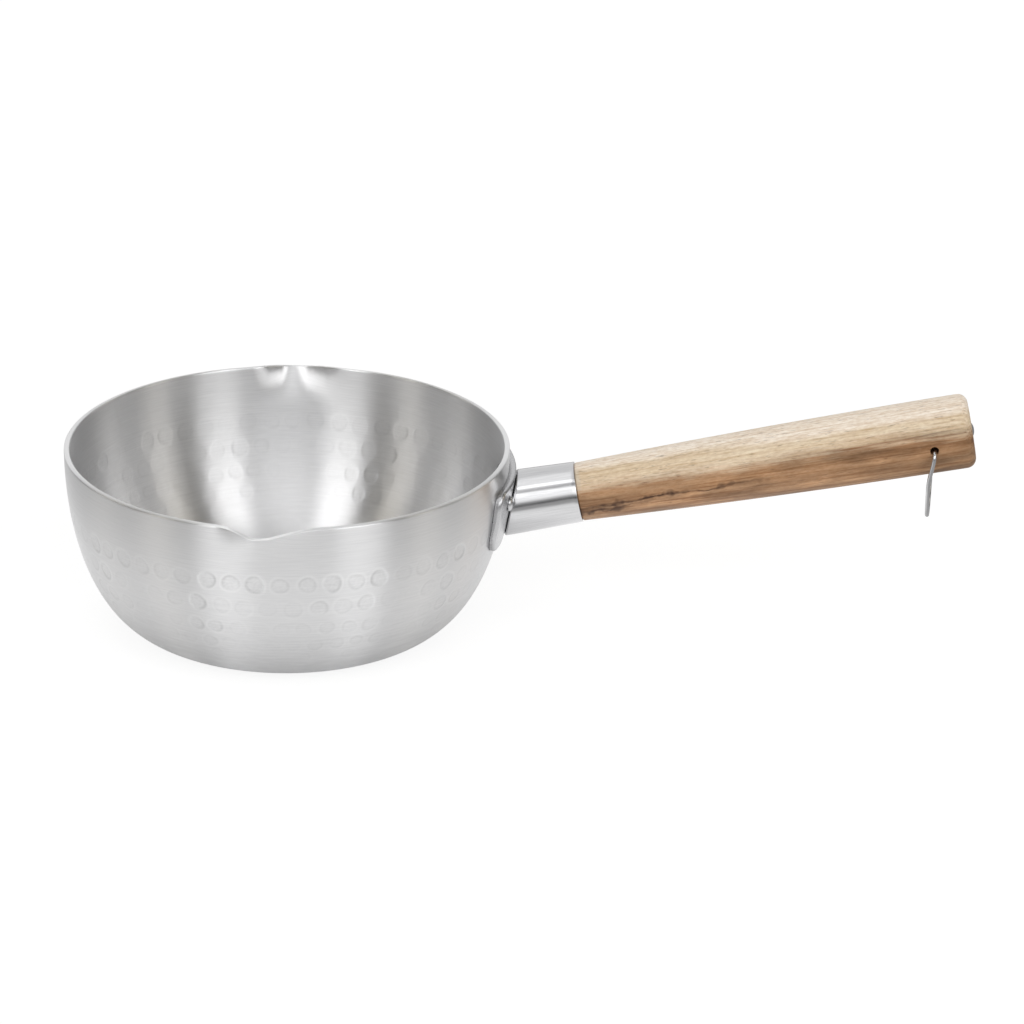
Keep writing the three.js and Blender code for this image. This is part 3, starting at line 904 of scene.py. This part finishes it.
def plain_metal(name, colour, rough, wear):
    """Polished metal with a little uneven gloss."""
    m = Nodes(bpy.data.materials.new(name))
    coords, _split = m.place()
    cloud = m.noise(coords, *CLOUD_NOISE)
    darker = tuple(c * (1 - wear) for c in colour)
    m.link(m.ramp(cloud, list(zip(CLOUD_SPAN, (darker, colour)))), m.shader.inputs["Base Color"])
    m.link(m.span(cloud, *rough, *CLOUD_SPAN), m.shader.inputs["Roughness"])
    m.shader.inputs["Metallic"].default_value = 1.0
    m.bump(cloud, CLOUD_BUMP_STRENGTH, CLOUD_BUMP)
    return m.owner


# Textures of the wood: changes per metre along the grip and across it, detail and roughness of the noise.
WOOD_TEXTURES = {
    "wander": (14, 90, 3.0, 0.55),
    "bands": (5, 260, 4.0, 0.6),
    "fibres": (38, 1300, 3.0, 0.6),
    "pores": (210, 1500, 2.0, 0.6),
    "blotches": (32, 130, 2.0, 0.55),
    "grain": (17, 640, 4.0, 0.65),
    "wool": (380, 1100, 2.0, 0.6),
    "knots": (130, 0, 2.0, 0.6),
    "breaks": (190, 160, 2.0, 0.6),
}

# A height across the grip decides between dark and pale wood, partly the wood's own tone and partly painted
# shade
# below and painted light above: how it leans, wanders and frays, and where dark wood turns pale.
WOOD_LEAN = (0.01, 0.39, 0.92)
WOOD_WANDER = 11 * MM
WOOD_FRAY = 12 * MM
WOOD_TURN = (-0.4 * MM, 4.6 * MM)

# Pale wood: its bands, a greyer band at its end by the ferrule and a painted highlight along its top.
PALE_BANDS = [(0.3, (0.68, 0.535, 0.36)), (0.5, (0.79, 0.66, 0.49)), (0.7, (0.84, 0.74, 0.59))]
GREY_BAND = (0.66, 0.62, 0.55)
GREY_BAND_SHARE = 0.5
GREY_BAND_END = (1.4 * MM, 2.6 * MM)
TOP_HIGHLIGHT = (0.97, 0.885, 0.785)
TOP_HIGHLIGHT_SHARE = 0.95
TOP_HIGHLIGHT_HEIGHTS = (7.6 * MM, 10.4 * MM)

# Dark wood: its bands, blotches and grain, a painted band of shade along it and a paler underside, which is
# painted light from the table. Here and below, four numbers in a row are the low, high, start and end of
# Nodes.span.
BROWN_BANDS = [(0.32, (0.125, 0.058, 0.027)), (0.46, (0.31, 0.17, 0.085)), (0.68, (0.445, 0.272, 0.153))]
BROWN_BLOTCHES = (0.66, 1.5, 0.32, 0.68)
BROWN_GRAIN = [(0.5, (1.0, 1.0, 1.0)), (0.6, (0.7, 0.62, 0.54))]
BROWN_GRAIN_SHARE = 0.85
SHADE_BAND = (0.1, 0.05, 0.025)
SHADE_BAND_SHARE = 0.22
SHADE_BAND_BELOW = 1.5 * MM
SHADE_BAND_HALF_WIDTH = 4.5 * MM
UNDERSIDE_BOUNCE = (0.48, 0.3, 0.175)
UNDERSIDE_BOUNCE_SHARE = 0.5
UNDERSIDE_BOUNCE_HEIGHTS = (-9 * MM, -3 * MM)

# Fine marks on both: streaks, wool and pores.
STREAKS = [(0.46, (1.0, 1.0, 1.0)), (0.72, (0.79, 0.7, 0.6))]
WOOL = [(0.32, (0.9, 0.84, 0.77)), (0.66, (1.06, 1.06, 1.06))]
PORE = (0.2, 0.11, 0.06)
PORE_SPAN = (0.0, 0.6, 0.6, 0.74)

# Two cracks: how far below the height's zero each runs, its slope, its waves per metre, and its strength by
# metres along the handle.
CRACKS = [
    (9.3 * MM, 0.038, 70, [(0.028, 0.6), (0.045, 1.0), (0.075, 0.95), (0.1, 0.4), (0.12, 0.0)]),
    (11.7 * MM, 0.045, 90, [(0.028, 0.85), (0.045, 0.8), (0.058, 0.35), (0.068, 0.0)]),
]
CRACK = (0.05, 0.02, 0.01)
CRACK_WAVE = 6 * MM
CRACK_NOISE = (3.0, 0.6)
CRACK_WIDTHS = (0.2 * MM, 1.05 * MM)
CRACK_KNOTS = (0.6, 2.6, 0.45, 0.66)
CRACK_BREAKS = (0.45, 1.0, 0.36, 0.54)

WOOD_GLOSS = (0.4, 0.55)
WOOD_SPECULAR = 0.3
WOOD_BUMP = 0.3 * MM
WOOD_BUMP_STRENGTH = 0.12


def wood():
    """Pale wood that turns darker towards one side, partly its own tone and partly painted shade, with a
    painted highlight on top, long grain, streaks, short pores and two cracks.
    """
    m = Nodes(bpy.data.materials.new("grip_wood"))
    _coords, (x, y, z) = m.place()

    def noise(along, across, detail, rough):
        return m.noise(m.joined(m.times(x, along), m.times(y, across), m.times(z, across)), detail, rough)

    def swing(value, size):
        return m.times(m.minus(value, 0.5), size)

    textures = {name: noise(*numbers) for name, numbers in WOOD_TEXTURES.items()}
    height = m.plus(m.times(z, WOOD_LEAN[2]), m.times(y, WOOD_LEAN[1]))
    height = m.plus(height, m.times(x, WOOD_LEAN[0]))
    height = m.plus(height, swing(textures["wander"], WOOD_WANDER))
    edge = m.plus(height, swing(textures["fibres"], WOOD_FRAY))

    pale = m.ramp(textures["bands"], PALE_BANDS)
    # Greyer towards the end by the ferrule.
    pale = m.mixed(m.span(x, GREY_BAND_SHARE, 0.0, *(GRIP_START + end for end in GREY_BAND_END)), pale, GREY_BAND)
    # A painted highlight along the top.
    pale = m.mixed(m.span(height, 0.0, TOP_HIGHLIGHT_SHARE, *TOP_HIGHLIGHT_HEIGHTS), pale, TOP_HIGHLIGHT)

    brown = m.ramp(textures["bands"], BROWN_BANDS)
    # Painted light from the table on the underside.
    brown = m.mixed(m.span(height, UNDERSIDE_BOUNCE_SHARE, 0.0, *UNDERSIDE_BOUNCE_HEIGHTS), brown, UNDERSIDE_BOUNCE)
    brown = m.mixed(1.0, brown, m.span(textures["blotches"], *BROWN_BLOTCHES), "MULTIPLY")
    # A painted band of shade along the grip, just below its middle height.
    shade_band_off = m.math("ABSOLUTE", m.plus(height, SHADE_BAND_BELOW))
    brown = m.mixed(m.span(shade_band_off, SHADE_BAND_SHARE, 0.0, 0.0, SHADE_BAND_HALF_WIDTH), brown, SHADE_BAND)
    brown = m.mixed(BROWN_GRAIN_SHARE, brown, m.ramp(textures["grain"], BROWN_GRAIN), "MULTIPLY")

    # Brown below and pale above: partly the wood's own tone, partly painted shade and painted light.
    colour = m.mixed(m.span(edge, 1.0, 0.0, *WOOD_TURN), pale, brown)
    colour = m.mixed(1.0, colour, m.ramp(textures["fibres"], STREAKS), "MULTIPLY")
    colour = m.mixed(1.0, colour, m.ramp(textures["wool"], WOOL), "MULTIPLY")
    colour = m.mixed(m.span(textures["pores"], *PORE_SPAN), colour, PORE)

    def crack_line(below, slope, waves, strengths):
        """A dark line that wanders along the wood and swells at knots."""
        bent = swing(noise(waves, 0, *CRACK_NOISE), CRACK_WAVE)
        away = m.plus(height, m.minus(m.plus(bent, below), m.times(x, slope)))
        away = m.math("DIVIDE", m.math("ABSOLUTE", away), m.span(textures["knots"], *CRACK_KNOTS))
        return m.times(m.span(away, 1.0, 0.0, *CRACK_WIDTHS), m.levels(x, strengths))

    crack = m.math("MAXIMUM", *(crack_line(*numbers) for numbers in CRACKS))
    crack = m.times(crack, m.span(textures["breaks"], *CRACK_BREAKS))
    crack = m.times(crack, m.math("LESS_THAN", y, 0.0))
    colour = m.mixed(crack, colour, CRACK)
    m.link(colour, m.shader.inputs["Base Color"])
    m.link(m.span(textures["bands"], *WOOD_GLOSS), m.shader.inputs["Roughness"])
    m.shader.inputs["Specular IOR Level"].default_value = WOOD_SPECULAR
    m.bump(textures["fibres"], WOOD_BUMP_STRENGTH, WOOD_BUMP)
    return m.owner


def paint(piece, material, body, slot, *nodes):
    """Gives a piece its material and body and hides the CAD nodes that it stands for. The slot is not used.
    """
    piece.data.materials.clear()
    piece.data.materials.append(material)
    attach(piece, body)
    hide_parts(*nodes)


ALUMINIUM = ((0.74, 0.74, 0.745), (0.84, 0.84, 0.845))
FERRULE_ALUMINIUM = ((0.55, 0.55, 0.56), (0.67, 0.67, 0.68))
bowl_metal = brushed_metal("bowl_metal", ALUMINIUM, (0.33, 0.39), 0.1, True, stretch=1.0, mark_shade=0.2)
ferrule_metal = brushed_metal("ferrule_metal", FERRULE_ALUMINIUM, (0.09, 0.17), 0.14, False)
saddle_metal = plain_metal("saddle_metal", (0.54, 0.54, 0.55), (0.22, 0.34), 0.12)
rivet_metal = plain_metal("rivet_metal", (0.6, 0.6, 0.61), (0.14, 0.26), 0.2)
bolt_metal = plain_metal("bolt_metal", (0.45, 0.45, 0.46), (0.3, 0.45), 0.2)
ring_metal = plain_metal("ring_metal", (0.6, 0.6, 0.61), (0.14, 0.24), 0.1)

paint(make_bowl(), bowl_metal, "pan", "bowl", "bowl")
paint(make_saddle(), saddle_metal, "pan", "bracket", "handle_bracket")
paint(make_rivet("rivet_head_left", 1), rivet_metal, "pan", "rivet", "rivet_left")
paint(make_rivet("rivet_head_right", -1), rivet_metal, "pan", "rivet", "rivet_right")
paint(make_ferrule(), ferrule_metal, "pan", "ferrule", "ferrule")
paint(make_grip(), wood(), "pan", "grip", "wooden_handle")
paint(make_bolt(), bolt_metal, "pan", "bolt", "tie_bolt")
paint(make_ring(), ring_metal, "ring", "ring", "hanging_ring")


# Stage, light and camera.


def make_floor():
    """A white table: even and bright in view, dimmer away from the pan where the metal reflects it."""
    s = FLOOR_HALF_SIZE
    floor = mesh_object("floor", [(-s, -s, 0), (s, -s, 0), (s, s, 0), (-s, s, 0)], [(0, 1, 2, 3)])
    m = Nodes(bpy.data.materials.new("floor_white"))
    m.shader.inputs["Base Color"].default_value = (*FLOOR_COLOUR, 1)
    m.shader.inputs["Roughness"].default_value = FLOOR_ROUGHNESS
    m.shader.inputs["Specular IOR Level"].default_value = 0.0
    m.shader.inputs["Emission Color"].default_value = (1, 1, 1, 1)
    _coords, (x, y, _z) = m.place()
    # Low right under the pan: a painted shadow.
    glow = m.levels(m.distance(x, y), FLOOR_GLOW)
    seen = m.add("ShaderNodeLightPath").outputs["Is Camera Ray"]
    strength = m.plus(m.times(seen, FLOOR_IN_VIEW), m.times(m.minus(1, seen), glow))
    m.link(strength, m.shader.inputs["Emission Strength"])
    floor.data.materials.append(m.owner)


def wall_stops():
    """Colours of the studio walls by half turns from the front."""
    stops = []
    for angle, level in STUDIO_WALLS:
        tint = STUDIO_WARM if angle > STUDIO_WARM_FROM else (1, 1, 1)
        stops.append((angle / HALF_TURN, tuple(level * share for share in tint)))
    return stops


def half_turns(angles):
    return [angle / HALF_TURN for angle in angles]


def make_world():
    """A studio round the pan: brightness by the angle from the front and by height, under a ceiling."""
    w = Nodes(bpy.data.worlds.new("studio"))
    x, y, z = w.split(w.add("ShaderNodeTexCoord").outputs["Generated"])
    turn = w.plus(w.math("ARCTAN2", x, w.times(y, -1)), math.radians(STUDIO_TURN))
    turn = w.math("DIVIDE", w.math("ABSOLUTE", turn), math.pi)
    walls = w.mixed(1.0, w.ramp(turn, wall_stops()), w.levels(z, STUDIO_LIFT), "MULTIPLY")
    low = w.span(z, STUDIO_LOW, 0.0, *STUDIO_LOW_HEIGHTS)
    low = w.times(low, w.span(turn, STUDIO_LOW_IN_FRONT, 1.0, *half_turns(STUDIO_LOW_ANGLES)))
    walls = w.mixed(1.0, walls, low, "ADD")
    back = w.span(turn, 0.0, 1.0, *half_turns(STUDIO_BACK_ANGLES))
    walls = w.mixed(back, walls, (STUDIO_BACK,) * 3)
    ceiling = w.span(z, 0.0, 1.0, *CEILING_HEIGHTS)
    level = w.minus(CEILING, w.times(x, CEILING_LEAN))
    light = w.mixed(ceiling, walls, w.math("MAXIMUM", level, CEILING_LEAST))
    seen = w.add("ShaderNodeLightPath").outputs["Is Camera Ray"]
    w.link(w.mixed(seen, light, (1.0, 1.0, 1.0)), w.tree.nodes["Background"].inputs["Color"])
    bpy.context.scene.world = w.owner


def make_camera():
    camera = bpy.data.cameras.new("photo_camera")
    camera.lens, camera.sensor_width = VIEW_LENS, VIEW_SENSOR
    camera.clip_start, camera.clip_end = VIEW_NEAR, VIEW_FAR
    eye = bpy.data.objects.new("photo_camera", camera)
    turn = Matrix.Rotation(VIEW_AZIMUTH, 4, "Z")
    look = Vector((0, math.cos(VIEW_ELEVATION), -math.sin(VIEW_ELEVATION)))
    aim = look.to_track_quat("-Z", "Y").to_matrix().to_4x4() @ Matrix.Rotation(VIEW_ROLL, 4, "Z")
    eye.matrix_world = turn @ Matrix.Translation(VIEW_PLACE) @ aim
    bpy.context.scene.collection.objects.link(eye)
    bpy.context.scene.camera = eye


make_floor()
make_world()
make_camera()
bpy.context.scene.view_settings.view_transform = "Standard"
